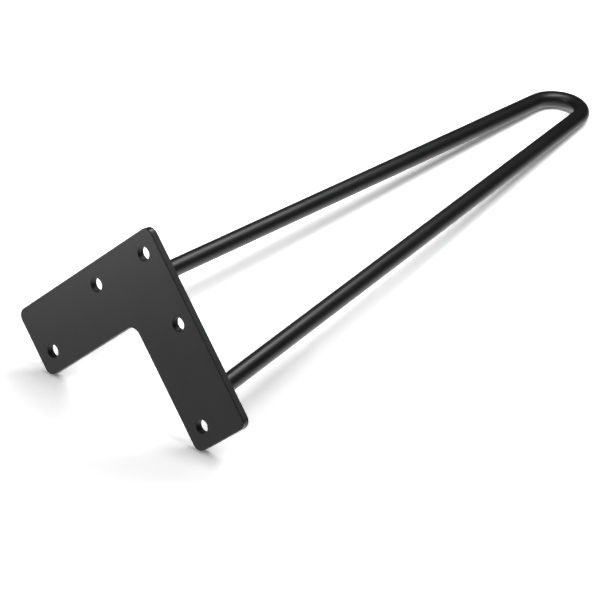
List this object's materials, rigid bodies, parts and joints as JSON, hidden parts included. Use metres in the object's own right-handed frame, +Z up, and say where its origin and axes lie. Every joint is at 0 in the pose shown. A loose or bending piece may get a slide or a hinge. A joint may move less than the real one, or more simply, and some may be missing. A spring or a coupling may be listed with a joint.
{
  "type": "hairpin table leg",
  "caption": "Hairpin table leg: a round steel bar bent into a slim hairpin and welded under an L-shaped screw plate, leaning out towards the corner of the table top that it carries.",
  "frame": {"origin": "on the mounting face, where the centre lines of the plate's arms cross", "axes": "+Z up, out of the mounting face towards the table top; -Y towards the plate's outer corner, the way the foot leans; X across the leg from one straight of the rod to the other, with x = 0 the mirror plane"},
  "size_m": [0.1574, 0.1045, 0.4064],
  "materials": {
    "black_powder_coat": "satin black powder coat over mild steel, with a fine orange-peel texture"
  },
  "bodies": {
    "root": {"mounting_plate": "black_powder_coat", "hairpin_rod": "black_powder_coat", "weld_bead_right": "black_powder_coat", "weld_bead_left": "black_powder_coat"}
  },
  "joints": []
}
